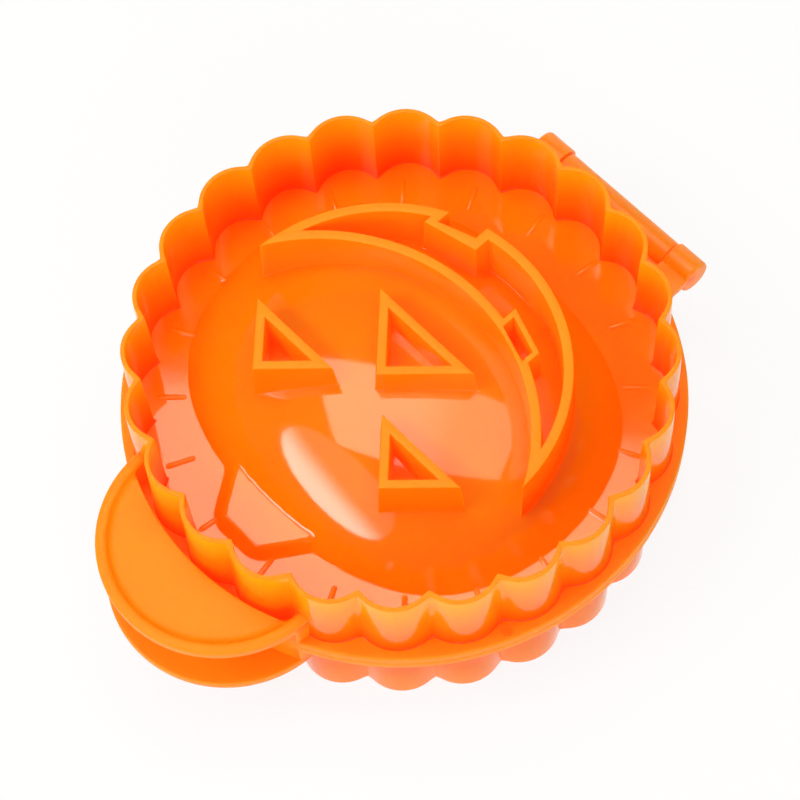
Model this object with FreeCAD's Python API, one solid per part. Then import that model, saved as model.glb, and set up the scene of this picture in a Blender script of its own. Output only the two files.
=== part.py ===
import FreeCAD, Part
import math
import os

from FreeCAD import Vector

# Hinged hand-pie mould with a pumpkin relief. Sizes are in millimetres.
# Each half is drawn cutter side up, with the parting plane at zero height and the centre of its
# scalloped wall at the origin. The hinge lies towards +Y and the handle towards -Y.

# Scalloped cutter wall
lobe_pitch = 14.53
cusp_radius = 55.5
lobe_bulge = 3.3
cutter_wall = 1.0
half_height = 23.3
wall_draft = 0.3

# Flange, and the land that the dough lies on
flange_width = 2.5
flange_thickness = 2.5
closing_rim = 1.8
land_recess = 0.8

# Crimp ribs on the land
crimp_count = 20
crimp_turn_deg = 115.4
crimp_length = 6.8
crimp_width = 1.5
crimp_rise = 0.7
crimp_wall_gap = 0.9

# Pumpkin relief: an oval crown with a flat stem
pumpkin_side_gap = 5.9
pumpkin_top_gap = 14.0
crown_rise = 12.2
crown_fullness_share = 0.35
crown_reach_share = 1.25
crown_columns = 10
crown_rows = 9
relief_sink = 0.5
stem_overlap = 6.0
stem_length = 9.5
stem_root_half_width = 17.0
stem_tip_half_width = 6.6
stem_rise = 2.0
stem_slope = 2.8

# Face cutters, which stand on the crown
face_drop = 2.1
face_wall = 1.9
face_draft = 0.35
eye_spacing = 38.4
eye_base_y = -12.4
eye_half_base = 11.7
eye_depth = 12.1
nose_base_y = 7.7
nose_half_base = 14.2
nose_depth = 14.6
mouth_half_width = 39.87
mouth_tip_y = -3.47
mouth_depth = 38.37
mouth_opening = 14.9
mouth_wall = 2.1
gap_tooth_x = -12.9
gap_tooth_width = 8.6
gap_tooth_depth = 3.3
box_tooth_x = 14.9
box_tooth_width = 11.0
box_tooth_rise = 5.7
box_tooth_wall = 1.2

# Handle tab of each half
handle_radius = 26.6
handle_inset = 9.4
handle_height = 9.4
handle_plate = 1.8
handle_lip = 1.1
handle_lip_width = 2.7
handle_riser = 1.0

# Hinge: two ears on the upper half, a barrel with stub pins on the lower half
hinge_offset = 4.5
ear_radius = 3.9
ear_width = 7.4
ear_gap = 0.3
barrel_radius = 3.3
barrel_length = 32.8
bracket_clearance = 0.2
stub_radius = 1.6
stub_length = 5.0
stub_clearance = 0.05
stub_end_clearance = 0.4

# Cuts run past the faces that they open
overrun = 1.0

# Sizes that follow from those above
lobe_count = round(2 * math.pi * cusp_radius / lobe_pitch)
half_pitch = math.pi / lobe_count
lobe_radius = cusp_radius + lobe_bulge
lobe_centre = (lobe_radius ** 2 - cusp_radius ** 2) / (lobe_radius - cusp_radius * math.cos(half_pitch)) / 2
lobe_arc = lobe_radius - lobe_centre
flange_radius = lobe_radius + flange_width
land_radius = flange_radius - closing_rim
floor_wall = flange_thickness - land_recess
well_radius = cusp_radius - cutter_wall
pumpkin_half_width = well_radius - pumpkin_side_gap
pumpkin_half_height = well_radius - pumpkin_top_gap
cutter_top = half_height - face_drop
mouth_inner_depth = mouth_depth - mouth_opening
mouth_outer_radius = (mouth_half_width ** 2 + mouth_depth ** 2) / mouth_depth / 2
mouth_inner_radius = (mouth_half_width ** 2 + mouth_inner_depth ** 2) / mouth_inner_depth / 2
mouth_outer_y = mouth_tip_y + mouth_depth - mouth_outer_radius
mouth_inner_y = mouth_tip_y + mouth_inner_depth - mouth_inner_radius
handle_y = handle_inset - flange_radius
hinge_y = flange_radius + hinge_offset
barrel_end = barrel_length / 2
ear_start = barrel_end + ear_gap
ear_end = ear_start + ear_width

# The finished part stands on its lower rim, with the middle of its box over the origin
handle_tip_y = handle_y - handle_radius
hinge_back_y = hinge_y + ear_radius
to_frame = Vector(0, -(handle_tip_y + hinge_back_y) / 2, half_height)

up = Vector(0, 0, 1)
across = Vector(1, 0, 0)


def cylinder(radius, bottom, top, centre_y=0):
    """An upright cylinder between two heights, centred on the part's middle line."""
    return Part.makeCylinder(radius, top - bottom, Vector(0, centre_y, bottom), up)


def scallop_wire(spread, height):
    """The scalloped outline: one arc for each lobe, moved outwards by the spread."""
    arc = lobe_arc + spread
    half_chord = lobe_centre * math.sin(half_pitch)
    cusp = lobe_centre * math.cos(half_pitch) + math.sqrt(arc ** 2 - half_chord ** 2)
    edges = []
    for lobe in range(lobe_count):
        middle = math.pi / 2 + 2 * lobe * half_pitch
        ends = ((cusp, middle - half_pitch), (lobe_centre + arc, middle), (cusp, middle + half_pitch))
        points = [Vector(radius * math.cos(turn), radius * math.sin(turn), height) for radius, turn in ends]
        edges.append(Part.Arc(*points).toShape())
    return Part.Wire(edges)


def wall_block(foot_spread, rim_spread):
    """All that lies inside one face of the cutter wall, which leans from its foot to the rim."""
    foot = scallop_wire(foot_spread, flange_thickness)
    rim = scallop_wire(rim_spread, half_height)
    return Part.makeLoft([foot, rim], True, True)


def wall_outside():
    """The body of the cutter wall without its hollow."""
    return wall_block(wall_draft, 0)


def cutter_wall_ring():
    """The scalloped cutter wall: even in thickness round the rim, and thicker at its foot."""
    return wall_outside().cut(wall_block(-cutter_wall - wall_draft, -cutter_wall))


def offset_polygon(points, distance):
    """Moves the sides of a convex outline outwards. Its points run anticlockwise."""
    moved = []
    for number, point in enumerate(points):
        before = (point - points[number - 1]).normalize()
        after = (points[(number + 1) % len(points)] - point).normalize()
        outwards = Vector(before.y + after.y, -before.x - after.x, 0)
        moved.append(point + outwards * (distance / (1 + before.dot(after))))
    return moved


def tapered_prism(points, low, high, lean):
    """A prism on an outline at its top, with flat sides that lean outwards on the way down."""
    bottom = [point + up * low for point in offset_polygon(points, lean)]
    top = [point + up * high for point in points]
    loops = [bottom, top]
    for number in range(len(points)):
        loops.append([bottom[number - 1], bottom[number], top[number], top[number - 1]])
    faces = [Part.Face(Part.makePolygon(loop + loop[:1])) for loop in loops]
    return Part.Solid(Part.Shell(faces))


def crown_height(x, y):
    """Height of the pumpkin's crown over the floor: zero on its full oval outline, negative outside it."""
    sideways = (x / pumpkin_half_width) ** 2
    lengthways = (y / pumpkin_half_height) ** 2
    return crown_rise * (1 - sideways - lengthways + crown_fullness_share * sideways * lengthways)


def even_steps(count):
    """Evenly spaced values from minus one to one."""
    return [2 * number / (count - 1) - 1 for number in range(count)]


def crown():
    """The pumpkin's crown: one smooth patch over the oval, closed a little below the floor."""
    columns = []
    for step_x in even_steps(crown_columns):
        x = step_x * crown_reach_share * pumpkin_half_width
        column = []
        for step_y in even_steps(crown_rows):
            y = step_y * crown_reach_share * pumpkin_half_height
            column.append(Vector(x, y, flange_thickness + crown_height(x, y)))
        columns.append(column)
    patch = Part.BSplineSurface()
    patch.interpolate(columns)
    block = patch.toShape().extrude(up * -(half_height + crown_rise))
    return block.common(cylinder(land_radius, flange_thickness - relief_sink, half_height))


def stem():
    """The pumpkin's flat stem, with sloping sides that run into the crown."""
    root_y = stem_overlap - pumpkin_half_height
    tip_y = -pumpkin_half_height - stem_length
    foot = [
        Vector(-stem_tip_half_width, tip_y, 0),
        Vector(stem_tip_half_width, tip_y, 0),
        Vector(stem_root_half_width, root_y, 0),
        Vector(-stem_root_half_width, root_y, 0),
    ]
    slope = stem_slope / stem_rise
    top = offset_polygon(foot, -stem_slope)
    lean = slope * (stem_rise + relief_sink)
    return tapered_prism(top, flange_thickness - relief_sink, flange_thickness + stem_rise, lean)


def relief():
    """The pumpkin as it stands out of the floor, sunk a little into it."""
    return crown().fuse(stem())


def crimp_bars(bottom, top):
    """Evenly spaced radial bars on the land, between two heights."""
    end_radius = well_radius - crimp_wall_gap
    bars = []
    for number in range(crimp_count):
        bar = Part.makeBox(crimp_length, crimp_width, top - bottom)
        bar.translate(Vector(end_radius - crimp_length, -crimp_width / 2, bottom))
        bar.rotate(Vector(0, 0, 0), up, number * 360 / crimp_count - crimp_turn_deg)
        bars.append(bar)
    return bars


def tray():
    """Flange, land and pumpkin dome of one half: a plate of even thickness."""
    plate = cylinder(flange_radius, 0, flange_thickness)
    plate = plate.cut(cylinder(land_radius, -overrun, land_recess))
    pumpkin = relief()
    cavity = pumpkin.translated(up * -floor_wall)
    return plate.fuse(pumpkin).cut(cavity)


def crimped_tray():
    """A tray with a ring of radial crimp ribs under its land."""
    return tray().fuse(crimp_bars(land_recess - crimp_rise, land_recess))


def stand_on_dome(cutter):
    """Trims the foot of a face cutter to the dome that it stands on."""
    return cutter.cut(relief())


def triangle_cutter(middle_x, base_y, half_base, depth):
    """A three-sided cutter wall whose square corner points to the stem."""
    outline = [
        Vector(middle_x, base_y - depth, 0),
        Vector(middle_x + half_base, base_y, 0),
        Vector(middle_x - half_base, base_y, 0),
    ]
    inner = offset_polygon(outline, -face_wall)
    outside = tapered_prism(outline, flange_thickness, cutter_top, face_draft)
    inside = tapered_prism(inner, flange_thickness, cutter_top, -face_draft)
    return stand_on_dome(outside.cut(inside))


def crescent(thinner):
    """The space between the mouth's two arcs, drawn in from both by the same amount."""
    disc = cylinder(mouth_outer_radius - thinner, flange_thickness, cutter_top, mouth_outer_y)
    return disc.cut(cylinder(mouth_inner_radius + thinner, flange_thickness, cutter_top, mouth_inner_y))


def arc_y(x, radius, centre_y):
    """Height along Y of an arc of the mouth at a place across it."""
    return centre_y + math.sqrt(radius ** 2 - x ** 2)


def mouth_cutter():
    """The crescent mouth, with a tooth let into its outer arc and a box tooth on its inner arc."""
    gap_left = gap_tooth_x - gap_tooth_width / 2
    gap_right = gap_tooth_x + gap_tooth_width / 2
    gap_left_y = arc_y(gap_left, mouth_outer_radius, mouth_outer_y) - gap_tooth_depth
    gap_right_y = arc_y(gap_right, mouth_outer_radius, mouth_outer_y) - gap_tooth_depth
    far_y = mouth_outer_y + mouth_outer_radius + overrun
    gap = [
        Vector(gap_left, gap_left_y, 0),
        Vector(gap_right, gap_right_y, 0),
        Vector(gap_right, far_y, 0),
        Vector(gap_left, far_y, 0),
    ]
    box_left = box_tooth_x - box_tooth_width / 2
    box_right = box_tooth_x + box_tooth_width / 2
    box_left_y = arc_y(box_left, mouth_inner_radius, mouth_inner_y)
    box_right_y = arc_y(box_right, mouth_inner_radius, mouth_inner_y)
    box = [
        Vector(box_left, box_left_y, 0),
        Vector(box_right, box_right_y, 0),
        Vector(box_right, box_right_y + box_tooth_rise, 0),
        Vector(box_left, box_left_y + box_tooth_rise, 0),
    ]
    gap_hole = tapered_prism(gap, flange_thickness, cutter_top, -face_draft)
    gap_wall = tapered_prism(offset_polygon(gap, mouth_wall), flange_thickness, cutter_top, face_draft)
    box_wall = tapered_prism(box, flange_thickness, cutter_top, face_draft)
    box_inner = offset_polygon(box, -box_tooth_wall)
    box_hole = tapered_prism(box_inner, flange_thickness, cutter_top, -face_draft)
    hollow = crescent(mouth_wall).cut(gap_wall)
    walls = crescent(0).cut(gap_hole).cut(hollow)
    return stand_on_dome(walls.fuse(box_wall).cut(box_hole)).removeSplitter()


def handle():
    """Crescent finger tab: a raised plate with a lip, carried by a riser and two cheeks on the flange."""
    lip_top = handle_height + handle_lip
    underside = handle_height - handle_plate
    riser_inner = flange_radius - handle_riser
    tab_floor = cylinder(handle_radius, underside, handle_height, handle_y)
    tab_floor = tab_floor.cut(cylinder(riser_inner, underside - overrun, half_height))
    riser = cylinder(flange_radius, flange_thickness, handle_height)
    riser = riser.cut(cylinder(riser_inner, flange_thickness - overrun, half_height))
    riser = riser.common(cylinder(handle_radius, flange_thickness, handle_height, handle_y))
    lip = cylinder(handle_radius, underside, lip_top, handle_y)
    cheeks = cylinder(handle_radius, flange_thickness, lip_top, handle_y)
    cheeks = cheeks.common(cylinder(flange_radius, flange_thickness, lip_top))
    inside = cylinder(handle_radius - handle_lip_width, flange_thickness - overrun, half_height, handle_y)
    lip = lip.fuse(cheeks).cut(inside)
    tab = tab_floor.fuse([riser, lip]).cut(wall_outside())
    return tab.removeSplitter()


def rod(radius, start, end):
    """A round bar along the hinge line."""
    return Part.makeCylinder(radius, end - start, Vector(start, hinge_y, 0), across)


def bracket(start, end):
    """A flat arm from the flange's edge to the hinge line."""
    thickness = flange_thickness - bracket_clearance
    arm = Part.makeBox(end - start, hinge_y, thickness, Vector(start, 0, bracket_clearance))
    return arm.cut(cylinder(flange_radius, -overrun, half_height))


def hinge_ear(side):
    """One end knuckle with its arm and the blind bore for a stub pin."""
    ear = rod(ear_radius, ear_start, ear_end).fuse(bracket(ear_start, ear_end))
    bore_end = ear_start + stub_length + stub_end_clearance
    bore = rod(stub_radius + stub_clearance, ear_start - overrun, bore_end)
    ear = ear.cut(bore).removeSplitter()
    return ear if side > 0 else ear.mirror(Vector(0, 0, 0), across)


def hinge_barrel():
    """The middle knuckle with its arm and a stub pin at each end, drawn for the lower half."""
    barrel = rod(barrel_radius, -barrel_end, barrel_end).fuse(bracket(-barrel_end, barrel_end))
    pin_reach = ear_start + stub_length
    return barrel.fuse(rod(stub_radius, -pin_reach, pin_reach)).removeSplitter()


def turned_over(shape):
    """The same moulding as a lower half: cutter side down."""
    return shape.mirror(Vector(0, 0, 0), up)


eye_x = eye_spacing / 2
nodes = {
    "upper_tray": crimped_tray(),
    "upper_cutter_wall": cutter_wall_ring(),
    "left_eye_cutter": triangle_cutter(-eye_x, eye_base_y, eye_half_base, eye_depth),
    "right_eye_cutter": triangle_cutter(eye_x, eye_base_y, eye_half_base, eye_depth),
    "nose_cutter": triangle_cutter(0, nose_base_y, nose_half_base, nose_depth),
    "mouth_cutter": mouth_cutter(),
    "upper_handle": handle(),
    "left_hinge_ear": hinge_ear(-1),
    "right_hinge_ear": hinge_ear(1),
    "lower_tray": turned_over(tray()),
    "lower_cutter_wall": turned_over(cutter_wall_ring()),
    "lower_handle": turned_over(handle()),
    "hinge_barrel": turned_over(hinge_barrel()),
}

os.makedirs("parts", exist_ok=True)
for name, shape in nodes.items():
    shape.translate(to_frame)
    shape.exportStep(os.path.join("parts", name + ".step"))
    box = shape.BoundBox
    print(name, "solids", len(shape.Solids), "valid", shape.isValid(), "volume", round(shape.Volume),
          "x", round(box.XMin, 2), round(box.XMax, 2), "y", round(box.YMin, 2), round(box.YMax, 2),
          "z", round(box.ZMin, 2), round(box.ZMax, 2))
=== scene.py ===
import math

import bmesh
import bpy
from bpy.props import FloatProperty, FloatVectorProperty, IntProperty, PointerProperty
from mathutils import Matrix, Vector


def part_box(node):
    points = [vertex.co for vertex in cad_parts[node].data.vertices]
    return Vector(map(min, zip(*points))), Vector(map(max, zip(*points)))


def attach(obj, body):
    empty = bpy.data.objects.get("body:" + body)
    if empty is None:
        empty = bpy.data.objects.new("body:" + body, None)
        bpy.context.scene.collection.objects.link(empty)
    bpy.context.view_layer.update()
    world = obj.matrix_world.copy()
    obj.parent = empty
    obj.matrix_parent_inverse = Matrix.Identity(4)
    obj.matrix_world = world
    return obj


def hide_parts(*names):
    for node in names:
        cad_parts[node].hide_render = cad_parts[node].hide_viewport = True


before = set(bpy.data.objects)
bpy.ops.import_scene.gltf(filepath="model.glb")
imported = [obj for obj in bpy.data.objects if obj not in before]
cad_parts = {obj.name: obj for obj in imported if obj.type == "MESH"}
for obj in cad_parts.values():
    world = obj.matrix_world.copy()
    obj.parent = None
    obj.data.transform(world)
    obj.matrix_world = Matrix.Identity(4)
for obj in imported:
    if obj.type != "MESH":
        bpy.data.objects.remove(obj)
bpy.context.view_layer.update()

bl_info = {
    "name": "Pumpkin pie mould",
    "version": (1, 0, 0),
    "blender": (4, 5, 0),
    "location": "View3D > Sidebar > Pie mould",
    "description": "Moulds the two halves of a pumpkin pie mould in glossy orange plastic",
    "category": "Add Mesh",
}

mm = 0.001

# Places that the two halves share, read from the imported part.
# A half is drawn cutter side up: its parting plane at zero height, its scalloped wall round the origin.
tray_low, tray_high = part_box("upper_tray")
wall_low, wall_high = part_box("upper_cutter_wall")
tab_low, tab_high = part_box("upper_handle")
ear_low, ear_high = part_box("right_hinge_ear")
barrel_low, barrel_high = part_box("hinge_barrel")
_, eye_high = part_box("right_eye_cutter")
parting = tray_low.z
middle_y = (tray_low.y + tray_high.y) / 2
flange_radius = tray_high.x
flange_top = wall_low.z - parting
rim_top = wall_high.z - parting
cutter_top = eye_high.z - parting
tab_radius = tab_high.x
tab_y = tab_low.y + tab_radius - middle_y
tab_top = tab_high.z - parting
hinge_y = (ear_high.y - (ear_high.z - ear_low.z) / 2) - middle_y

# The halves by name, and whether a half lies cutter side up in the closed mould.
halves = (("upper", True), ("lower", False))
# Points closer than a seam are one point, and a hair tells one ring of points from the next.
seam = 0.002 * mm
hair = 0.01 * mm
# How deep a shell that stands on another one is sunk into it.
sunk = 0.2 * mm
# Radius of the dome's border while a tray is still round.
oval_ring = 46 * mm
# The face cutters end inside this radius, and the outer wall stands outside it.
face_reach = 53 * mm
# Width of the flange's duller border outside the wall.
flange_width = 4 * mm
# Height of the duller rim on top of a wall.
rim_height = 0.4 * mm
# The handle's lip and cheeks run into the wall up to this radius.
lip_end_radius = 57.4 * mm
# Cosine of the turn in an outline from which a corner is a narrow tip.
tip_turn = -0.77


def length_property(name, description, millimetres):
    """A length that a user would change."""
    return FloatProperty(name=name, description=description, default=millimetres * mm, unit="LENGTH")


def share_property(name, description, share):
    """A share that a user would change."""
    return FloatProperty(name=name, description=description, default=share, subtype="FACTOR")


def angle_property(name, description, degrees):
    """An angle that a user would change."""
    return FloatProperty(name=name, description=description, default=math.radians(degrees), subtype="ANGLE")


def count_property(name, description, number, least):
    """A number of like forms that a user would change."""
    return IntProperty(name=name, description=description, default=number, min=least)


def colour_property(name, description, shade):
    """A colour that a user would change."""
    return FloatVectorProperty(
        name=name, description=description, subtype="COLOR", size=3, default=shade, min=0, max=1)


class MouldSizes(bpy.types.PropertyGroup):
    """Sizes of the moulding that a maker would change."""

    lobes: count_property("Lobes", "Scallops round the cutter wall", 24, 6)
    lobe_steps: count_property("Lobe steps", "Faces along one scallop", 16, 4)
    cusp_radius: length_property("Cusp radius", "From the middle to the valleys between scallops", 55.5)
    lobe_bulge: length_property("Lobe bulge", "How far a scallop swells past the valleys", 3.3)
    cusp_softness: length_property("Cusp softness", "Rounding of the valleys between scallops", 0.45)
    wall: length_property("Wall", "Thickness of the cutter wall at its rim", 1.0)
    wall_draft: length_property("Wall draft", "How far each side of the wall leans out at its foot", 0.3)
    wall_foot: length_property("Wall foot", "Fillet where the wall meets the floor", 0.55)
    rim_round: length_property("Rim rounding", "Rounding of the wall's rim", 0.32)
    flange_round: length_property("Flange rounding", "Rounding of the flange's top edge", 0.6)
    parting_round: length_property("Parting rounding", "Rounding of the flange's edge at the parting", 0.35)
    closing_rim: length_property("Closing rim", "Width of the rim that the halves close on", 1.8)
    closing_gap: length_property("Closing gap", "From a closing rim to the parting plane", 0.08)
    land_recess: length_property("Land recess", "Depth of the land inside the closing rim", 0.8)
    dome_half_width: length_property("Dome half width", "Half the pumpkin's width", 48.6)
    dome_half_height: length_property("Dome half height", "Half the pumpkin's height without its stem", 40.5)
    dome_rise: length_property("Dome rise", "Height of the dome over the floor", 12.2)
    dome_fullness: share_property("Dome fullness", "Share by which the dome's shoulders fill out", 0.35)
    dome_shoulder: share_property("Dome shoulder", "Share by which the dome steepens towards its border", 0.5)
    stem_length: length_property("Stem length", "Reach of the stem past the dome", 9.5)
    stem_root: length_property("Stem root", "Half the stem's width a little inside the dome", 17.0)
    stem_root_depth: length_property("Stem root depth", "Where inside the dome the root is measured", 6.0)
    stem_tip: length_property("Stem tip", "Half the stem's width at its tip", 6.6)
    stem_corner: length_property("Stem corner", "Rounding of the stem's tip corners", 2.6)
    stem_rise: length_property("Stem rise", "Height of the stem over the floor", 2.0)
    stem_slope: length_property("Stem slope", "Width of the slope round the stem", 2.8)
    crimps: count_property("Crimps", "Crimp bars round the land", 20, 0)
    crimp_turn: angle_property("Crimp turn", "Angle of the first crimp bar", -115.4)
    crimp_length: length_property("Crimp length", "Length of a crimp bar", 6.8)
    crimp_width: length_property("Crimp width", "Width of a crimp bar", 1.5)
    crimp_rise: length_property("Crimp rise", "Height of a crimp bar", 0.3)
    crimp_end: length_property("Crimp end", "Outer end of the crimp bars from the middle", 53.6)
    eject_radius: length_property("Ejector mark", "Radius of the ejector mark on the flange", 1.4)
    eject_inset: length_property("Ejector inset", "From the flange's edge to the mark's middle", 2.1)
    eject_turn: angle_property("Ejector turn", "Angle of the ejector mark from the handle", 67.5)
    face_wall: length_property("Face wall", "Wall of the eye and nose cutters", 1.9)
    face_draft: length_property("Face draft", "How far a face cutter leans out at its foot", 0.35)
    face_foot: length_property("Face foot", "Fillet where a face cutter meets the dome", 0.4)
    face_round: length_property("Face rounding", "Rounding of the face cutters' edges", 0.22)
    mouth_wall: length_property("Mouth wall", "Wall of the mouth cutter", 2.1)
    tab_plate: length_property("Tab plate", "Thickness of a handle's plate", 1.8)
    tab_lip: length_property("Tab lip", "Height of a handle's lip", 1.1)
    tab_lip_width: length_property("Tab lip width", "Width of a handle's lip", 2.7)
    tab_riser: length_property("Tab riser", "Thickness of the riser under a handle", 1.0)
    stub_radius: length_property("Stub radius", "Radius of the barrel's stub pins", 1.6)
    hinge_play: length_property("Hinge play", "Room between the ears and the barrel with its pins", 0.3)
    hinge_round: length_property("Hinge rounding", "Rounding of the hinge's ends", 0.8)


class MouldFace(bpy.types.PropertyGroup):
    """The pumpkin's face, seen from above."""

    eye_spacing: length_property("Eye spacing", "Between the eyes' middles", 38.4)
    eye_base_y: length_property("Eye base", "Place of the eyes' lower sides", -12.4)
    eye_half_base: length_property("Eye half base", "Half an eye's lower side", 11.7)
    eye_depth: length_property("Eye depth", "From an eye's lower side to its peak", 12.1)
    nose_base_y: length_property("Nose base", "Place of the nose's lower side", 7.7)
    nose_half_base: length_property("Nose half base", "Half the nose's lower side", 14.2)
    nose_depth: length_property("Nose depth", "From the nose's lower side to its peak", 14.6)
    mouth_half_width: length_property("Mouth half width", "Half the way between the mouth's tips", 39.87)
    mouth_tip_y: length_property("Mouth tips", "Place of the mouth's tips", -3.47)
    mouth_depth: length_property("Mouth depth", "From the tips to the far arc", 38.37)
    mouth_opening: length_property("Mouth opening", "Between the mouth's two arcs", 14.9)
    gap_tooth_x: length_property("Gap tooth", "Place of the notch in the far arc", -12.9)
    gap_tooth_width: length_property("Gap tooth width", "Width of the notch", 8.6)
    gap_tooth_depth: length_property("Gap tooth depth", "Depth of the notch", 3.3)
    box_tooth_x: length_property("Box tooth", "Place of the box on the near arc", 14.9)
    box_tooth_width: length_property("Box tooth width", "Width of the box", 11.0)
    box_tooth_rise: length_property("Box tooth rise", "Reach of the box", 5.7)
    box_tooth_wall: length_property("Box tooth wall", "Wall of the box", 1.2)


class MouldColours(bpy.types.PropertyGroup):
    """Colours of the plastic, of the light and shade painted into it, of the table and of the lamps."""

    plastic: colour_property("Plastic", "Orange of the moulding", (1.0, 0.28, 0.003))
    # Darker orange for the random flow marks, also used as painted shade on pieces given depth.
    plastic_flow_and_shade: colour_property("Deep plastic", "Orange where the moulding is denser", (1.0, 0.205, 0.002))
    # Painted light and shade on walls: a lighter orange at the rim, a darker one at the foot.
    plastic_lit_rim: colour_property("Thin plastic", "Orange of a wall near its thin rim", (1.0, 0.42, 0.004))
    plastic_shaded_foot: colour_property("Foot plastic", "Orange of a wall at its thick foot", (1.0, 0.09, 0.001))
    # Colour of the glow painted into nooks and recesses, where the plastic gives off light though it is no
    # lamp.
    painted_nook_glow_colour: colour_property("Seen through", "Light that passes into the nooks", (1.0, 0.06, 0.004))
    table: colour_property("Table", "White of the table", (0.86, 0.86, 0.86))
    warm_lamp: colour_property("Warm lamp", "Colour of the overhead softbox", (1.0, 1.0, 0.75))
    lamp: colour_property("Lamp", "Colour of the other softboxes", (1.0, 0.98, 0.92))


def fresh_tree(owner):
    """The nodes and links of a material, lamp or world, emptied."""
    owner.use_nodes = True
    owner.node_tree.nodes.clear()
    return owner.node_tree.nodes, owner.node_tree.links


def new_node(nodes, kind, sockets):
    """A new shader node with some of its sockets set."""
    node = nodes.new("ShaderNode" + kind)
    for socket, value in sockets.items():
        node.inputs[socket].default_value = value
    return node


def placed(name, data):
    """A new object in the scene."""
    thing = bpy.data.objects.new(name, data)
    bpy.context.scene.collection.objects.link(thing)
    return thing


def painted_rim_to_foot_shading(nodes, links, place, tint, rise):
    """Painted light and shade: a wall's orange is lighter at its rim and darker at its foot. The rise holds
    the heights of foot and rim.
    """
    split = nodes.new("ShaderNodeSeparateXYZ")
    height = new_node(nodes, "MapRange", {"From Min": rise[0], "From Max": rise[1]})
    rim_to_foot_shade = new_node(nodes, "MixRGB", {"Color1": (*bpy.context.scene.mould_colours.plastic_shaded_foot, 1)})
    links.new(place.outputs["Object"], split.inputs["Vector"])
    links.new(split.outputs["Z"], height.inputs["Value"])
    links.new(height.outputs["Result"], rim_to_foot_shade.inputs["Fac"])
    links.new(tint, rim_to_foot_shade.inputs["Color2"])
    return rim_to_foot_shade.outputs["Color"]


def glossy_orange(name, gloss, haze, shine, depth, rise):
    """Glossy moulded plastic with faint flow marks, an uneven polish, a little light passing through it and a
    painted glow in its nooks.
    """
    colours = bpy.context.scene.mould_colours
    finish = bpy.data.materials.new(name)
    nodes, links = fresh_tree(finish)
    out = nodes.new("ShaderNodeOutputMaterial")
    place = nodes.new("ShaderNodeTexCoord")
    flow = new_node(nodes, "TexNoise", {"Scale": 38, "Detail": 3})
    polish = new_node(nodes, "TexNoise", {"Scale": 240, "Detail": 4})
    skin = new_node(nodes, "TexNoise", {"Scale": 420, "Detail": 2})
    for texture in (flow, polish, skin):
        links.new(place.outputs["Object"], texture.inputs["Vector"])
    # The darker orange serves the random flow marks, and a finish's depth moves the whole piece towards it.
    clear, deep = Vector(colours.plastic), Vector(colours.plastic_flow_and_shade)
    # On a wall the lighter end of its orange is the painted rim light.
    if rise:
        clear, deep = Vector(colours.plastic_lit_rim), clear
    flow_tint = nodes.new("ShaderNodeValToRGB")
    dense_stop, clear_stop = flow_tint.color_ramp.elements
    dense_stop.position, clear_stop.position = 0.3, 0.7
    dense_stop.color = (*clear.lerp(deep, depth + 0.3), 1)
    clear_stop.color = (*clear.lerp(deep, depth), 1)
    links.new(flow.outputs["Fac"], flow_tint.inputs["Fac"])
    tint = flow_tint.outputs["Color"]
    # Painted light and shade on walls: lighter at the rim, darker in shade at the foot.
    if rise:
        tint = painted_rim_to_foot_shading(nodes, links, place, tint, rise)
    polish_range = new_node(nodes, "MapRange", {"To Min": gloss, "To Max": gloss + haze})
    ripple = new_node(nodes, "Bump", {"Strength": 0.25, "Distance": 0.02 * mm})
    # Painted glow: the more a place is occluded, in nooks and recesses, the more faint red-orange light it
    # gives off.
    nooks = new_node(nodes, "AmbientOcclusion", {"Distance": 12 * mm})
    nooks.samples = 3
    through = new_node(nodes, "MapRange", {"From Min": 0.75, "From Max": 0.1, "To Max": 0.36})
    plastic = new_node(nodes, "BsdfPrincipled", {
        "Emission Color": (*colours.painted_nook_glow_colour, 1),
        "IOR": 1.5,
        "Specular IOR Level": shine,
        "Subsurface Weight": 0.45,
        "Subsurface Radius": (1.0, 0.3, 0.05),
        "Subsurface Scale": 4 * mm,
    })
    links.new(tint, plastic.inputs["Base Color"])
    links.new(polish.outputs["Fac"], polish_range.inputs["Value"])
    links.new(polish_range.outputs["Result"], plastic.inputs["Roughness"])
    links.new(nooks.outputs["AO"], through.inputs["Value"])
    links.new(through.outputs["Result"], plastic.inputs["Emission Strength"])
    links.new(skin.outputs["Fac"], ripple.inputs["Height"])
    links.new(ripple.outputs["Normal"], plastic.inputs["Normal"])
    links.new(plastic.outputs["BSDF"], out.inputs["Surface"])
    return finish


def finish_named(name, gloss, haze=0.06, shine=0.5, depth=0.0, rise=None):
    """The finish of that name, made on first use.

    Depth moves its orange towards the darker one, as painted shade on the lower wall, and a rise paints light
    and shade on a wall: lighter towards its rim, darker at its foot."""
    return bpy.data.materials.get(name) or glossy_orange(name, gloss, haze, shine, depth, rise)


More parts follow.
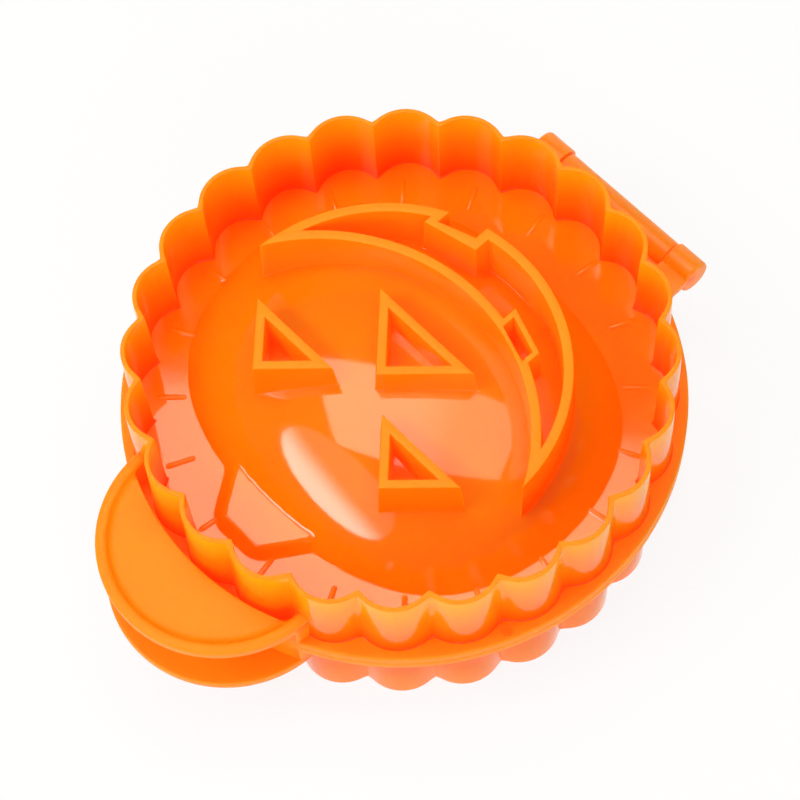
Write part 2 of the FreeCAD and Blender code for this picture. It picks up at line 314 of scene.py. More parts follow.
def finish_piece(name, shell, body, nodes, finish, upper=True, crease=40, satin=None):
    """Seats a shell drawn in its half's own frame, closes its seams and makes it a piece of the mould.

    Faces for whose middle the satin test holds get the duller finish of the tool's eroded edges."""
    for face in shell.faces:
        face.material_index = int(satin is not None and satin(face.calc_center_median()))
    bmesh.ops.scale(shell, vec=(1, 1, 1 if upper else -1), verts=shell.verts)
    bmesh.ops.translate(shell, vec=(0, middle_y, parting), verts=shell.verts)
    bmesh.ops.remove_doubles(shell, verts=shell.verts, dist=seam)
    bmesh.ops.dissolve_degenerate(shell, edges=shell.edges, dist=seam)
    bmesh.ops.recalc_face_normals(shell, faces=shell.faces)
    mesh = bpy.data.meshes.new(name)
    shell.to_mesh(mesh)
    shell.free()
    mesh.polygons.foreach_set("use_smooth", [True] * len(mesh.polygons))
    mesh.set_sharp_from_angle(angle=math.radians(crease))
    mesh.materials.append(finish)
    if satin is not None:
        mesh.materials.append(finish_named("rim_satin", gloss=0.42, haze=0.1, shine=0.2))
    piece = placed(name, mesh)
    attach(piece, body)
    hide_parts(*nodes)


def on_rim(middle):
    """Whether a place lies on the rim of the outer wall or of a face cutter."""
    outside = math.hypot(middle.x, middle.y) > face_reach
    return middle.z > (rim_top if outside else cutter_top) - rim_height


def on_flange(middle):
    """Whether a place lies on the flange outside the cutter wall."""
    return math.hypot(middle.x, middle.y) > flange_radius - flange_width


def draw_section(shell, corners):
    """A closed section in the XZ plane. A corner is (radius, height, rounding, cuts up to the next)."""
    places = [Vector((radius, 0, height)) for radius, height, _, _ in corners]
    points = []
    runs = []
    for i, (_, _, rounding, cuts) in enumerate(corners):
        before = (places[i - 1] - places[i]).normalized()
        after = (places[(i + 1) % len(places)] - places[i]).normalized()
        steps = 5 if rounding else 0
        for step in range(steps + 1):
            share = step / steps if steps else 0
            back, on = before * (rounding * (1 - share) ** 2), after * (rounding * share ** 2)
            points.append(shell.verts.new(places[i] + back + on))
            runs.append(0)
        runs[-1] = cuts
    sides = [shell.edges.new((points[i], points[(i + 1) % len(points)])) for i in range(len(points))]
    for side, cuts in zip(sides, runs):
        if cuts:
            bmesh.ops.subdivide_edges(shell, edges=[side], cuts=cuts)


def turn_section(shell, steps, centre=(0, 0, 0), start=0, angle=2 * math.pi):
    """Spins all that is drawn about an upright line. A whole turn is made of eight like sectors."""
    bmesh.ops.rotate(shell, cent=centre, matrix=Matrix.Rotation(start, 3, "Z"), verts=shell.verts)
    sectors = 8 if angle >= 2 * math.pi else 1
    bmesh.ops.spin(
        shell, geom=shell.verts[:] + shell.edges[:], cent=centre, axis=(0, 0, 1), angle=angle / sectors,
        steps=steps // sectors)
    sector = shell.verts[:] + shell.edges[:] + shell.faces[:]
    for number in range(1, sectors):
        copied = bmesh.ops.duplicate(shell, geom=sector)["geom"]
        points = [part for part in copied if isinstance(part, bmesh.types.BMVert)]
        turned = Matrix.Rotation(angle * number / sectors, 3, "Z")
        bmesh.ops.rotate(shell, cent=centre, matrix=turned, verts=points)
    bmesh.ops.remove_doubles(shell, verts=shell.verts, dist=seam)


def joined(shells):
    """Several closed shells as one."""
    whole = bmesh.new()
    for shell in shells:
        mesh = bpy.data.meshes.new("joined")
        shell.to_mesh(mesh)
        shell.free()
        whole.from_mesh(mesh)
        bpy.data.meshes.remove(mesh)
    return whole


def scallop_radius(sizes, turn, spread):
    """Radius of the scalloped outline at an angle, moved outwards by the spread."""
    half_pitch = math.pi / sizes.lobes
    lobe_radius = sizes.cusp_radius + sizes.lobe_bulge
    lobe_centre = (lobe_radius ** 2 - sizes.cusp_radius ** 2) / 2
    lobe_centre /= lobe_radius - sizes.cusp_radius * math.cos(half_pitch)
    off_lobe = abs((turn + half_pitch) % (2 * half_pitch) - half_pitch)
    off_cusp = math.hypot(half_pitch - off_lobe, sizes.cusp_softness / sizes.cusp_radius)
    off_lobe = max(half_pitch - off_cusp, 0)
    arc = lobe_radius - lobe_centre + spread
    return lobe_centre * math.cos(off_lobe) + math.sqrt(arc ** 2 - (lobe_centre * math.sin(off_lobe)) ** 2)


def crown_height(sizes, x, y):
    """Height of the dome over the floor, negative outside its oval."""
    sideways = (x / sizes.dome_half_width) ** 2
    lengthways = (y / sizes.dome_half_height) ** 2
    share = 1 - sideways - lengthways + sizes.dome_fullness * sideways * lengthways
    return sizes.dome_rise * share * (1 + sizes.dome_shoulder * (1 - share))


def oval_radius(sizes, turn):
    """Radius of the dome's oval outline at an angle."""
    a = (math.cos(turn) / sizes.dome_half_width) ** 2
    b = (math.sin(turn) / sizes.dome_half_height) ** 2
    mixed = sizes.dome_fullness * a * b
    return math.sqrt(2 / (a + b + math.sqrt((a + b) ** 2 - 4 * mixed)))


def stem_depth(sizes, x, y):
    """How far a place on the floor lies inside the stem's outline, with its tip corners rounded."""
    tip_y = -sizes.dome_half_height - sizes.stem_length
    root_y = sizes.stem_root_depth - sizes.dome_half_height
    run = root_y - tip_y
    lean = math.atan2(sizes.stem_root - sizes.stem_tip, run)
    half_width = sizes.stem_tip + (y - tip_y) / run * (sizes.stem_root - sizes.stem_tip)
    from_side = (half_width - abs(x)) * math.cos(lean)
    from_tip = y - tip_y
    corner = sizes.stem_corner
    if from_side < corner and from_tip < corner:
        return corner - math.hypot(corner - from_side, corner - from_tip)
    return min(from_side, from_tip)


def stem_radius(sizes, turn):
    """Radius of the stem's outline at an angle, zero where the stem doesn't reach past the dome."""
    inside = oval_radius(sizes, turn)
    outside = flange_radius
    across, along = math.cos(turn), math.sin(turn)
    if along > 0 or stem_depth(sizes, inside * across, inside * along) < 0:
        return 0
    for _ in range(24):
        reach = (inside + outside) / 2
        if stem_depth(sizes, reach * across, reach * along) > 0:
            inside = reach
        else:
            outside = reach
    return inside


def smooth_step(share):
    """A soft rise from zero to one."""
    share = min(max(share, 0), 1)
    return share * share * (3 - 2 * share)


def relief_height(sizes, x, y):
    """Height of dome and stem together over the floor."""
    dome = max(crown_height(sizes, x, y), 0)
    stem = 0
    straight, soft = 0.55, 0.45
    if y < sizes.stem_root_depth - sizes.dome_half_height:
        depth = stem_depth(sizes, x, y) / sizes.stem_slope
        stem = sizes.stem_rise * (straight * min(max(depth, 0), 1) + soft * smooth_step(depth))
    return max(dome, stem)


def shape_relief(sizes, shell, land_ring):
    """Draws the round rings of a tray out to the pumpkin's outline and lifts them to its dome and stem."""
    outlines = {}
    for point in shell.verts:
        radius = math.hypot(point.co.x, point.co.y)
        if radius < hair:
            point.co.z += relief_height(sizes, 0, 0)
        if radius < hair or radius > land_ring + hair:
            continue
        turn = math.atan2(point.co.y, point.co.x)
        key = round(turn, 5)
        if key not in outlines:
            outlines[key] = max(oval_radius(sizes, turn), stem_radius(sizes, turn))
        outline = outlines[key]
        if radius <= oval_ring:
            reach = outline * radius / oval_ring
        else:
            reach = outline + (land_ring - outline) * (radius - oval_ring) / (land_ring - oval_ring)
        point.co.x = reach * math.cos(turn)
        point.co.y = reach * math.sin(turn)
        if radius < oval_ring - hair:
            point.co.z += relief_height(sizes, point.co.x, point.co.y)


def crimp_bars(sizes, height, rise):
    """The ring of radial crimp bars: roofs with round ends, on the floor or hanging under the land."""
    bar = bmesh.new()
    half = sizes.crimp_width / 2
    eaves, roof_slope = rise * 0.3, half * 0.7
    bmesh.ops.create_circle(bar, cap_ends=True, segments=16, radius=half)
    for point in bar.verts:
        point.co.x += sizes.crimp_end - half - (sizes.crimp_length - 2 * half if point.co.x < 0 else 0)
    raised = bmesh.ops.extrude_face_region(bar, geom=bar.faces[:])["geom"]
    lifted = [part for part in raised if isinstance(part, bmesh.types.BMVert)]
    roof = [part for part in raised if isinstance(part, bmesh.types.BMFace)]
    bmesh.ops.translate(bar, vec=(0, 0, eaves), verts=lifted)
    bmesh.ops.inset_region(bar, faces=roof, thickness=roof_slope, depth=0)
    for point in roof[0].verts:
        point.co.z = rise
    bmesh.ops.translate(bar, vec=(0, 0, height), verts=bar.verts)
    bars = []
    for number in range(sizes.crimps):
        turned = bar.copy()
        turn = sizes.crimp_turn + number * 2 * math.pi / sizes.crimps
        bmesh.ops.rotate(turned, cent=(0, 0, 0), matrix=Matrix.Rotation(turn, 3, "Z"), verts=turned.verts)
        bars.append(turned)
    bar.free()
    return bars


def eject_mark(sizes):
    """The faint ring on the flange that an ejector pin of the tool has left."""
    shell = bmesh.new()
    edge, height, soft, lift = sizes.eject_radius, 0.05 * mm, 0.03 * mm, 0.01 * mm
    draw_section(shell, [
        (0, -height, 0, 0),
        (edge, -height, 0, 0),
        (edge, height, soft, 0),
        (edge * 0.84, height, soft, 0),
        (edge * 0.8, 0, soft, 0),
        (0, 0, 0, 0),
    ])
    turn_section(shell, 48)
    reach = flange_radius - sizes.eject_inset
    across, along = reach * math.sin(sizes.eject_turn), -reach * math.cos(sizes.eject_turn)
    bmesh.ops.translate(shell, vec=(across, along, flange_top + lift), verts=shell.verts)
    return shell


class MOULD_OT_trays(bpy.types.Operator):
    """Moulds the floor, dome, stem and flange of both halves"""

    bl_idname = "mould.trays"
    bl_label = "Trays"

    def execute(self, context):
        sizes = context.scene.mould_sizes
        finish = finish_named("tray_gloss", gloss=0.045, haze=0.035, depth=0.7)
        land_ring = flange_radius - sizes.closing_rim
        crown_ring = oval_ring * 0.72
        bend, land_round = 0.5 * mm, 0.2 * mm
        land, gap = sizes.land_recess, sizes.closing_gap
        for name, upper in halves:
            shell = bmesh.new()
            draw_section(shell, [
                (0, flange_top, 0, 22),
                (crown_ring, flange_top, 0, 20),
                (oval_ring - bend, flange_top, 0, 1),
                (oval_ring, flange_top, 0, 1),
                (oval_ring + bend, flange_top, 0, 9),
                (land_ring, flange_top, 0, 0),
                (flange_radius, flange_top, sizes.flange_round, 0),
                (flange_radius, gap, sizes.parting_round, 0),
                (land_ring, gap, land_round, 0),
                (land_ring, land, 0, 6),
                (oval_ring + bend, land, 0, 1),
                (oval_ring, land, 0, 1),
                (oval_ring - bend, land, 0, 14),
                (crown_ring, land, 0, 12),
                (0, land, 0, 0),
            ])
            turn_section(shell, sizes.lobes * sizes.lobe_steps)
            shape_relief(sizes, shell, land_ring)
            shells = [shell]
            if upper:
                shells.append(eject_mark(sizes))
                shells += crimp_bars(sizes, flange_top - sunk, sizes.crimp_rise + sunk)
                shells += crimp_bars(sizes, land + sunk, -sizes.crimp_rise - sunk)
            finish_piece(
                name + "_tray_shell", joined(shells), name + "_half", [name + "_tray"], finish, upper,
                satin=on_flange)
        return {"FINISHED"}


class MOULD_OT_cutter_walls(bpy.types.Operator):
    """Moulds the scalloped cutter wall of both halves"""

    bl_idname = "mould.cutter_walls"
    bl_label = "Cutter walls"

    def execute(self, context):
        sizes = context.scene.mould_sizes
        draft, foot = sizes.wall_draft, sizes.wall_foot
        outer = sizes.cusp_radius + sizes.lobe_bulge
        inner = outer - sizes.wall
        lean = draft * foot / (rim_top - flange_top)
        foot_z = flange_top - 0.05 * mm
        root_z = foot_z - 0.4 * mm
        fillet_z = foot_z + 0.02 * mm
        # The lower wall is the same plastic drawn in the darker orange, as painted shade under the flange.
        for (name, upper), shine, depth in zip(halves, (0.18, 0.065), (0.0, 1.0)):
            shell = bmesh.new()
            draw_section(shell, [
                (outer + draft + foot, foot_z, 0, 0),
                (outer + draft - lean, fillet_z, foot * 0.95, 1),
                (outer, rim_top, sizes.rim_round, 0),
                (inner, rim_top, sizes.rim_round, 1),
                (inner - draft + lean, fillet_z, foot * 0.95, 0),
                (inner - draft - foot, foot_z, 0, 0),
                (inner - draft - foot, root_z, 0, 0),
                (outer + draft + foot, root_z, 0, 0),
            ])
            turn_section(shell, sizes.lobes * sizes.lobe_steps)
            for point in shell.verts:
                turn = math.atan2(point.co.y, point.co.x)
                spread = math.hypot(point.co.x, point.co.y) - outer
                reach = scallop_radius(sizes, turn, spread)
                point.co.x = reach * math.cos(turn)
                point.co.y = reach * math.sin(turn)
            side = 1 if upper else -1
            # Heights between which the wall is painted from shade at its foot to light at its rim.
            rise = parting + side * flange_top, parting + side * rim_top
            finish = finish_named(
                name + "_wall_gloss", gloss=0.08, haze=0.05, shine=shine, depth=depth, rise=rise)
            finish_piece(
                name + "_scalloped_wall", shell, name + "_half", [name + "_cutter_wall"], finish, upper,
                crease=55, satin=on_rim)
        return {"FINISHED"}


def wire_of(shell, points):
    """A closed wire through the points of an outline."""
    corners = [shell.verts.new(point) for point in points]
    return [shell.edges.new((corners[i - 1], corners[i])) for i in range(len(corners))]


def ways_at(points, i):
    """The ways along an outline to one of its corners and on from it."""
    following = points[(i + 1) % len(points)]
    return (points[i] - points[i - 1]).normalized(), (following - points[i]).normalized()


def narrow_tips(points):
    """The corners of an outline that have no room for a fillet on both sides."""
    return [point for i, point in enumerate(points) if Vector.dot(*ways_at(points, i)) < tip_turn]


def spread_outline(points, distance, tips=()):
    """An outline, drawn anticlockwise, with its sides moved outwards, and less so near its narrow tips."""
    fade_in, mitre_limit = 5 * mm, 0.3
    moved = []
    for i, point in enumerate(points):
        before, after = ways_at(points, i)
        mitre = max(1 + before.dot(after), mitre_limit)
        outwards = Vector((before.y + after.y, -before.x - after.x, 0)) / mitre
        share = min([1] + [(point - tip).length / fade_in for tip in tips])
        moved.append(point + outwards * distance * share)
    return moved


def divided(points, longest):
    """The sides of an outline in even steps, none longer than a given length."""
    steps = []
    for i, point in enumerate(points):
        following = points[(i + 1) % len(points)]
        count = max(1, math.ceil((following - point).length / longest))
        steps += [point.lerp(following, step / count) for step in range(count)]
    return steps


def stand_cutter(sizes, outline, holes):
    """A cutter wall between an outline and its holes, with fillet and draft at the foot and a rounded rim."""
    shell = bmesh.new()
    foot, draft, edge = sizes.face_foot, sizes.face_draft, sizes.face_round
    root_depth, longest = 0.15 * mm, 2.0 * mm
    # Each level of the wall is (spread, height, whether the height is over the dome).
    levels = (
        (draft + foot, -root_depth, True),
        (draft + 0.45 * foot, 0.1 * foot, True),
        (draft + 0.12 * foot, 0.45 * foot, True),
        (draft * 0.95, foot, True),
        (0, cutter_top - edge, False),
        (-0.3 * edge, cutter_top - 0.3 * edge, False),
        (-edge, cutter_top, False),
    )
    bottoms, tops = [], []
    for points, side in [(outline, 1)] + [(hole, -1) for hole in holes]:
        points = divided(points, longest)
        tips = narrow_tips(points) if side < 0 else ()
        below = None
        for spread, height, on_dome in levels:
            ring = []
            for place in spread_outline(points, side * spread, tips):
                base = flange_top + relief_height(sizes, place.x, place.y) if on_dome else 0
                ring.append((place.x, place.y, base + height))
            wire = wire_of(shell, ring)
            if below:
                bmesh.ops.bridge_loops(shell, edges=below + wire)
            else:
                bottoms += wire
            below = wire
        tops += below
    for wires in (bottoms, tops):
        bmesh.ops.triangle_fill(shell, use_beauty=True, edges=wires, normal=(0, 0, 1))
    return shell


def flat(x, y):
    """A corner of an outline, seen from above."""
    return Vector((x, y, 0))


def triangle(middle, base, half, depth):
    """A three-sided outline whose nearly square corner points to the stem."""
    return [flat(middle, base - depth), flat(middle + half, base), flat(middle - half, base)]


def arc_y(x, radius, centre_y):
    """Where an arc of the mouth lies along Y, at a place across it."""
    return centre_y + math.sqrt(radius ** 2 - x ** 2)


def notch(left, right, ends, radius, centre_y):
    """The corners of a tooth in an arc of the mouth, from left to right. Its ends are places along Y."""
    return [
        flat(left, arc_y(left, radius, centre_y)),
        flat(left, ends[0]),
        flat(right, ends[1]),
        flat(right, arc_y(right, radius, centre_y)),
    ]


def mouth_outline(face, thinner):
    """The mouth's crescent drawn in by a wall, and the hole of its box tooth.

    The gap tooth notches the crescent, and inside the wall the box tooth does too."""
    half, depth = face.mouth_half_width, face.mouth_depth
    inner_depth = depth - face.mouth_opening
    far_full = (half ** 2 + depth ** 2) / depth / 2
    near_full = (half ** 2 + inner_depth ** 2) / inner_depth / 2
    far_y = face.mouth_tip_y + depth - far_full
    near_y = face.mouth_tip_y + inner_depth - near_full
    far, near = far_full - thinner, near_full + thinner
    tip_y = (near_y ** 2 - far_y ** 2 - near ** 2 + far ** 2) / (near_y - far_y) / 2
    tip_x = math.sqrt(far ** 2 - (tip_y - far_y) ** 2)
    gap_left = face.gap_tooth_x - face.gap_tooth_width / 2
    gap_right = gap_left + face.gap_tooth_width
    gap_floor = [arc_y(x, far_full, far_y) - face.gap_tooth_depth - thinner for x in (gap_left, gap_right)]
    gap_left -= thinner
    gap_right += thinner
    steps = 72
    beside = 0.3 * mm
    points = []
    first = math.atan2(tip_y - far_y, tip_x)
    for step in range(steps + 1):
        turn = first + (math.pi - 2 * first) * step / steps
        x, y = far * math.cos(turn), far_y + far * math.sin(turn)
        last_x = points[-1].x if points else x
        if x < gap_right <= last_x:
            points += reversed(notch(gap_left, gap_right, gap_floor, far, far_y))
        if not gap_left - beside < x < gap_right + beside:
            points.append(flat(x, y))
    box_left = face.box_tooth_x - face.box_tooth_width / 2
    box_right = box_left + face.box_tooth_width
    box_floor = [arc_y(x, near_full, near_y) for x in (box_left, box_right)]
    box_end = [y + face.box_tooth_rise for y in box_floor]
    first = math.atan2(tip_y - near_y, tip_x)
    for step in range(1, steps):
        turn = math.pi - first - (math.pi - 2 * first) * step / steps
        x, y = near * math.cos(turn), near_y + near * math.sin(turn)
        if thinner and points[-1].x <= box_left < x:
            points += notch(box_left, box_right, box_end, near, near_y)
        if not thinner or not box_left - beside < x < box_right + beside:
            points.append(flat(x, y))
    box = [
        flat(box_left, box_floor[0]),
        flat(box_right, box_floor[1]),
        flat(box_right, box_end[1]),
        flat(box_left, box_end[0]),
    ]
    return points, spread_outline(box, -face.box_tooth_wall)


class MOULD_OT_face_cutters(bpy.types.Operator):
    """Moulds the eyes, nose and mouth that stand on the dome"""

    bl_idname = "mould.face_cutters"
    bl_label = "Face cutters"

    def execute(self, context):
        sizes = context.scene.mould_sizes
        face = context.scene.mould_face
        eye_x = face.eye_spacing / 2
        eye = face.eye_base_y, face.eye_half_base, face.eye_depth
        nose = face.nose_base_y, face.nose_half_base, face.nose_depth
        outlines = []
        for name, middle, corners in (
                ("left_eye", -eye_x, eye),
                ("right_eye", eye_x, eye),
                ("nose", 0, nose)):
            outline = triangle(middle, *corners)
            outlines.append((name, outline, [spread_outline(outline, -sizes.face_wall)]))
        mouth, _ = mouth_outline(face, 0)
        outlines.append(("mouth", mouth, mouth_outline(face, sizes.mouth_wall)))
        finish = finish_named("face_gloss", gloss=0.08, shine=0.3, depth=0.4)
        for name, outline, holes in outlines:
            shell = stand_cutter(sizes, outline, holes)
            finish_piece(name + "_wall", shell, "upper_half", [name + "_cutter"], finish, satin=on_rim)
        return {"FINISHED"}


def close_ends(shell):
    """Closes the open ends of a part-turned section."""
    bmesh.ops.holes_fill(shell, edges=[edge for edge in shell.edges if edge.is_boundary], sides=0)


def turn_about_tab(shell, start, angle, steps):
    """Spins a section about the middle of the handle's disc. Zero degrees points away from the hinge."""
    bmesh.ops.translate(shell, vec=(0, tab_y, 0), verts=shell.verts)
    turn_section(shell, steps, (0, tab_y, 0), math.radians(start - 90), math.radians(angle))
    close_ends(shell)


def keep_ring(shell, nearest, farthest):
    """Draws points in or out until they lie between two circles round the wall's middle."""
    for point in shell.verts:
        radius = math.hypot(point.co.x, point.co.y)
        share = min(max(radius, nearest), farthest) / radius
        point.co.x *= share
        point.co.y *= share


def tab_plate(sizes, floor, under):
    """The handle's crescent plate with the rounded lip along its edge.

    It is drawn as half a disc round a small hole, whose edge then moves out to the slot beside the wall."""
    lip_inside = tab_radius - sizes.tab_lip_width
    lip_lean = 0.3 * mm
    plate_start = lip_inside - 1.9 * mm
    hole = 4 * mm
    slot_round = 0.35 * mm
    under_round, outer_round, inner_round, root_round = 0.5 * mm, 1.0 * mm, 0.9 * mm, 1.1 * mm
    shell = bmesh.new()
    draw_section(shell, [
        (tab_radius, under, under_round, 1),
        (tab_radius, tab_top, outer_round, 0),
        (lip_inside + lip_lean, tab_top, inner_round, 0),
        (lip_inside - lip_lean, floor, root_round, 0),
        (plate_start, floor, 0, 8),
        (hole, floor, slot_round, 0),
        (hole, under, slot_round, 8),
        (plate_start, under, 0, 2),
    ])
    turn_about_tab(shell, -90, 180, 120)
    inner = flange_radius - sizes.tab_riser
    for point in shell.verts:
        away = Vector((point.co.x, point.co.y - tab_y))
        radius = away.length
        towards = away.y / radius * tab_y
        slot = math.sqrt(towards ** 2 - tab_y ** 2 + inner ** 2) - towards
        if radius < plate_start:
            inside = min(slot, plate_start)
            radius = inside + (radius - hole) / (plate_start - hole) * (plate_start - inside)
        away = away.normalized() * max(radius, min(slot, lip_inside))
        point.co.x, point.co.y = away.x, away.y + tab_y
    keep_ring(shell, lip_end_radius, math.inf)
    return shell


def tab_cheek(sizes, start, top):
    """A cheek on the flange that carries one end of the lip."""
    lip_inside = tab_radius - sizes.tab_lip_width
    span = 13
    shell = bmesh.new()
    draw_section(shell, [
        (tab_radius, flange_top - sunk, 0, 1),
        (tab_radius, top, 0, 0),
        (lip_inside, top, 0, 1),
        (lip_inside, flange_top - sunk, 0, 0),
    ])
    turn_about_tab(shell, start, span, 10)
    keep_ring(shell, lip_end_radius, flange_radius)
    return shell


def tab_riser(sizes, top):
    """The upright wall between the flange and the handle's plate."""
    foot = flange_top - 0.3 * mm
    start, span = math.radians(-115), math.radians(50)
    shell = bmesh.new()
    draw_section(shell, [
        (flange_radius, foot, 0, 0),
        (flange_radius, top, 0, 0),
        (flange_radius - sizes.tab_riser, top, 0, 0),
        (flange_radius - sizes.tab_riser, foot, 0, 0),
    ])
    turn_section(shell, 40, (0, 0, 0), start, span)
    close_ends(shell)
    return shell


class MOULD_OT_handles(bpy.types.Operator):
    """Moulds the crescent handle of both halves"""

    bl_idname = "mould.handles"
    bl_label = "Handles"

    def execute(self, context):
        sizes = context.scene.mould_sizes
        finish = finish_named("handle_satin", gloss=0.38, haze=0.1, shine=0.2)
        floor = tab_top - sizes.tab_lip
        under = floor - sizes.tab_plate
        riser_top = floor - 0.4 * mm
        cheek_starts = -92.5, 79.5
        for name, upper in halves:
            shells = [tab_plate(sizes, floor, under), tab_riser(sizes, riser_top)]
            shells += [tab_cheek(sizes, start, floor) for start in cheek_starts]
            finish_piece(
                name + "_handle_tab", joined(shells), name + "_half", [name + "_handle"], finish, upper)
        return {"FINISHED"}


def turned_bar(corners):
    """A bar turned about the hinge line. Each corner is (radius, place along the line, rounding, cuts)."""
    shell = bmesh.new()
    draw_section(shell, corners)
    turn_section(shell, 48)
    bmesh.ops.rotate(shell, cent=(0, 0, 0), matrix=Matrix.Rotation(math.pi / 2, 3, "Y"), verts=shell.verts)
    bmesh.ops.translate(shell, vec=(0, hinge_y, 0), verts=shell.verts)
    return shell


def hinge_arm(start, end):
    """A flat arm from inside the flange to the hinge line."""
    low, high = 0.2 * mm, flange_top - 0.03 * mm
    overlap, edge_round = 1.5 * mm, 0.35 * mm
    root = math.sqrt(flange_radius ** 2 - max(abs(start), abs(end)) ** 2) - overlap
    middle = (start + end) / 2, (hinge_y + root) / 2, (high + low) / 2
    shell = bmesh.new()
    bmesh.ops.create_cube(shell, size=1)
    bmesh.ops.scale(shell, vec=(end - start, hinge_y - root, high - low), verts=shell.verts)
    bmesh.ops.translate(shell, vec=middle, verts=shell.verts)
    bmesh.ops.bevel(
        shell, geom=shell.edges[:], offset=edge_round, offset_type="OFFSET", segments=2, profile=0.5,
        affect="EDGES", material=-1)
    return shell


class MOULD_OT_hinge(bpy.types.Operator):
    """Moulds the hinge: two ears on the upper half, a barrel with stub pins on the lower half"""

    bl_idname = "mould.hinge"
    bl_label = "Hinge"

    def execute(self, context):
        sizes = context.scene.mould_sizes
        finish = finish_named("hinge_satin", gloss=0.3, haze=0.1, shine=0.35)
        ear_radius = (ear_high.z - ear_low.z) / 2
        barrel_radius = (barrel_high.z - barrel_low.z) / 2
        start, end = ear_low.x, ear_high.x
        half, pin, stub = start - sizes.hinge_play, barrel_high.x, sizes.stub_radius
        bore, bore_end = stub + sizes.hinge_play, pin + sizes.hinge_play
        edge, pin_edge, bore_edge = 0.3 * mm, 0.2 * mm, 0.15 * mm
        for name, side in (("left", -1), ("right", 1)):
            knuckle = turned_bar([
                (bore, start, bore_edge, 0),
                (ear_radius, start, edge, 1),
                (ear_radius, end, sizes.hinge_round, 0),
                (0, end, 0, 0),
                (0, bore_end, 0, 0),
                (bore, bore_end, 0, 0),
            ])
            shell = joined([knuckle, hinge_arm(start, end)])
            bmesh.ops.scale(shell, vec=(side, 1, 1), verts=shell.verts)
            finish_piece(name + "_ear", shell, "upper_half", [name + "_hinge_ear"], finish)
        barrel = turned_bar([
            (0, -pin, 0, 0),
            (stub, -pin, pin_edge, 0),
            (stub, -half, 0, 0),
            (barrel_radius, -half, edge, 1),
            (barrel_radius, half, edge, 0),
            (stub, half, 0, 0),
            (stub, pin, pin_edge, 0),
            (0, pin, 0, 0),
        ])
        shell = joined([barrel, hinge_arm(-half, half)])
        finish_piece("barrel_with_pins", shell, "lower_half", ["hinge_barrel"], finish, upper=False)
        return {"FINISHED"}


def grey_fade(nodes, start, start_level, end, end_level):
    """A soft change between two levels of grey."""
    fade = nodes.new("ShaderNodeValToRGB")
    fade.color_ramp.interpolation = "EASE"
    first, last = fade.color_ramp.elements
    first.position, last.position = start, end
    first.color = (start_level, start_level, start_level, 1)
    last.color = (end_level, end_level, end_level, 1)
    return fade


def lay_table(colours):
    """A white table that takes the mould's shadow, and is white to the camera and in the plastic's gloss."""
    half_side, glow_share = 6, 0.88
    white = bpy.data.materials.new("white_table")
    nodes, links = fresh_tree(white)
    out = nodes.new("ShaderNodeOutputMaterial")
    paint = new_node(nodes, "BsdfDiffuse", {"Color": (*colours.table, 1)})
    glow = nodes.new("ShaderNodeEmission")
    rays = nodes.new("ShaderNodeLightPath")
    seen = rays.outputs["Is Camera Ray"]
    for ray in ("Is Glossy Ray", "Is Transmission Ray"):
        either = nodes.new("ShaderNodeMath")
        either.operation = "ADD"
        links.new(seen, either.inputs[0])
        links.new(rays.outputs[ray], either.inputs[1])
        seen = either.outputs["Value"]
    share = new_node(nodes, "Math", {1: glow_share})
    share.operation = "MULTIPLY"
    blend = nodes.new("ShaderNodeMixShader")
    links.new(seen, share.inputs[0])
    links.new(share.outputs["Value"], blend.inputs["Fac"])
    links.new(paint.outputs["BSDF"], blend.inputs[1])
    links.new(glow.outputs["Emission"], blend.inputs[2])
    links.new(blend.outputs["Shader"], out.inputs["Surface"])
    sheet = bmesh.new()
    bmesh.ops.create_grid(sheet, x_segments=1, y_segments=1, size=half_side)
    mesh = bpy.data.meshes.new("table_top")
    sheet.to_mesh(mesh)
    sheet.free()
    mesh.materials.append(white)
    floor = placed("table_top", mesh)


def light_room():
    """A studio whose walls are pale near the table and dim overhead."""
    pale_end, pale, dim_start, dim = 0.3, 0.9, 0.62, 0.1
    room = bpy.data.worlds.new("studio")
    bpy.context.scene.world = room
    nodes, links = fresh_tree(room)
    out = nodes.new("ShaderNodeOutputWorld")
    backdrop = nodes.new("ShaderNodeBackground")
    way = nodes.new("ShaderNodeTexCoord")
    split = nodes.new("ShaderNodeSeparateXYZ")
    fade = grey_fade(nodes, pale_end, pale, dim_start, dim)
    links.new(way.outputs["Generated"], split.inputs["Vector"])
    links.new(split.outputs["Z"], fade.inputs["Fac"])
    links.new(fade.outputs["Color"], backdrop.inputs["Color"])
    links.new(backdrop.outputs["Background"], out.inputs["Surface"])


def direction(turn, lift):
    """The way from the mould to a lamp or the camera, in degrees. A turn of zero is the handle's side."""
    turn, lift = math.radians(turn), math.radians(lift)
    return Vector((math.sin(turn) * math.cos(lift), -math.cos(turn) * math.cos(lift), math.sin(lift)))


def fade_lamp(lamp, axis, *fade):
    """Lets the glow of a softbox change across its width (X) or height (Y)."""
    nodes, links = fresh_tree(lamp)
    out = nodes.new("ShaderNodeOutputLight")
    glow = nodes.new("ShaderNodeEmission")
    sheet = nodes.new("ShaderNodeNewGeometry")
    split = nodes.new("ShaderNodeSeparateXYZ")
    levels = grey_fade(nodes, *fade)
    links.new(sheet.outputs["Parametric"], split.inputs["Vector"])
    links.new(split.outputs[axis], levels.inputs["Fac"])
    links.new(levels.outputs["Color"], glow.inputs["Color"])
    links.new(glow.outputs["Emission"], out.inputs["Surface"])


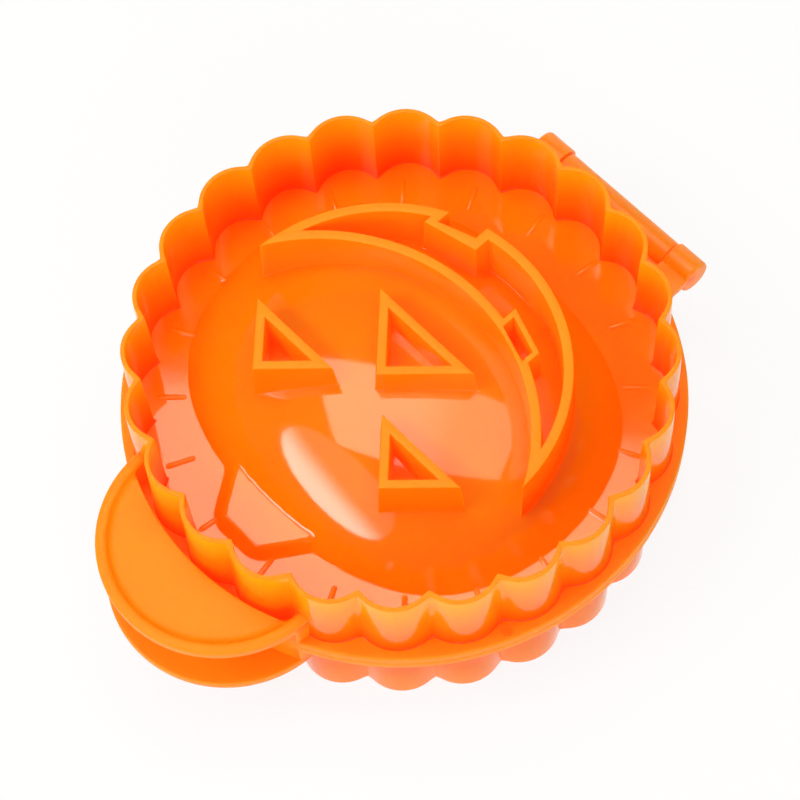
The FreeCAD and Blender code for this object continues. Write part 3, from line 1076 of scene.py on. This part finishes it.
def hang_softbox(name, tint, size, radiance, place, fade=None, shape="RECTANGLE"):
    """A softbox aimed at the mould. Its size is (width, height), its place (turn, lift, distance)."""
    turn, lift, distance = place
    width, height = size
    aim = Vector((0, 0, 40 * mm))
    lamp = bpy.data.lights.new(name, "AREA")
    lamp.shape = shape
    lamp.size = width
    lamp.size_y = height
    lamp.color = tint
    lamp.energy = radiance * math.pi * width * height * (math.pi / 4 if shape == "ELLIPSE" else 1)
    if fade:
        fade_lamp(lamp, *fade)
    light = placed(name, lamp)
    way = direction(turn, lift)
    light.location = aim + way * distance
    light.rotation_mode = "QUATERNION"
    light.rotation_quaternion = way.to_track_quat("Z", "Y")


def set_camera():
    """The camera at the photo's viewing angle, as fitted to its outlines."""
    lens = bpy.data.cameras.new("photo_camera")
    lens.sensor_width = 36
    lens.lens = 124.7
    camera = placed("photo_camera", lens)
    target, distance = Vector((8.6, -3.73, 46.6)) * mm, 573.9 * mm
    turn, lift, roll = 50.9, 64.16, math.radians(-5.07)
    back = direction(turn, lift)
    right = Vector((0, 0, 1)).cross(back).normalized()
    up = back.cross(right)
    rolled_right = right * math.cos(roll) + up * math.sin(roll)
    rolled_up = up * math.cos(roll) - right * math.sin(roll)
    axes = Matrix((rolled_right, rolled_up, back)).transposed().to_4x4()
    camera.matrix_world = Matrix.Translation(target + back * distance) @ axes
    bpy.context.scene.camera = camera


class MOULD_OT_stage(bpy.types.Operator):
    """Sets the white table, the soft lights and the camera"""

    bl_idname = "mould.stage"
    bl_label = "Stage"

    def execute(self, context):
        colours = context.scene.mould_colours
        lay_table(colours)
        light_room()
        hang_softbox(
            "overhead_softbox", colours.warm_lamp, size=(0.76, 0.4), radiance=5.0, place=(216.5, 77.3, 0.9),
            fade=("X", 0.35, 0.6, 0.6, 1.0))
        hang_softbox(
            "stem_side_softbox", colours.lamp, size=(0.6, 0.5), radiance=11.0, place=(339.5, 59, 0.9),
            fade=("Y", 0.2, 1.0, 0.6, 0.1), shape="ELLIPSE")
        hang_softbox("near_side_softbox", colours.lamp, size=(0.9, 0.5), radiance=2.8, place=(60, 32, 1.1))
        hang_softbox("hinge_side_softbox", colours.lamp, size=(0.9, 0.4), radiance=1.6, place=(225, 24, 1.1))
        set_camera()
        context.scene.view_settings.view_transform = "Standard"
        return {"FINISHED"}


class MOULD_PT_pieces(bpy.types.Panel):
    """The mould's pieces in the order of making"""

    bl_idname = "MOULD_PT_pieces"
    bl_label = "Pie mould"
    bl_space_type = "VIEW_3D"
    bl_region_type = "UI"
    bl_category = "Pie mould"

    def draw(self, context):
        for tool in tools:
            self.layout.operator(tool)


tools = (
    "mould.trays",
    "mould.cutter_walls",
    "mould.face_cutters",
    "mould.handles",
    "mould.hinge",
    "mould.stage",
)
classes = (
    MouldSizes,
    MouldFace,
    MouldColours,
    MOULD_OT_trays,
    MOULD_OT_cutter_walls,
    MOULD_OT_face_cutters,
    MOULD_OT_handles,
    MOULD_OT_hinge,
    MOULD_OT_stage,
    MOULD_PT_pieces,
)


def register():
    """Adds the mould's sizes, colours and tools."""
    for made in classes:
        bpy.utils.register_class(made)
    bpy.types.Scene.mould_sizes = PointerProperty(type=MouldSizes)
    bpy.types.Scene.mould_face = PointerProperty(type=MouldFace)
    bpy.types.Scene.mould_colours = PointerProperty(type=MouldColours)


def unregister():
    """Takes the mould's sizes, colours and tools away."""
    del bpy.types.Scene.mould_colours
    del bpy.types.Scene.mould_face
    del bpy.types.Scene.mould_sizes
    for made in reversed(classes):
        bpy.utils.unregister_class(made)


def main():
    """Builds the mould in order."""
    register()
    bpy.ops.mould.trays()
    bpy.ops.mould.cutter_walls()
    bpy.ops.mould.face_cutters()
    bpy.ops.mould.handles()
    bpy.ops.mould.hinge()
    bpy.ops.mould.stage()


if __name__ == "__main__":
    main()
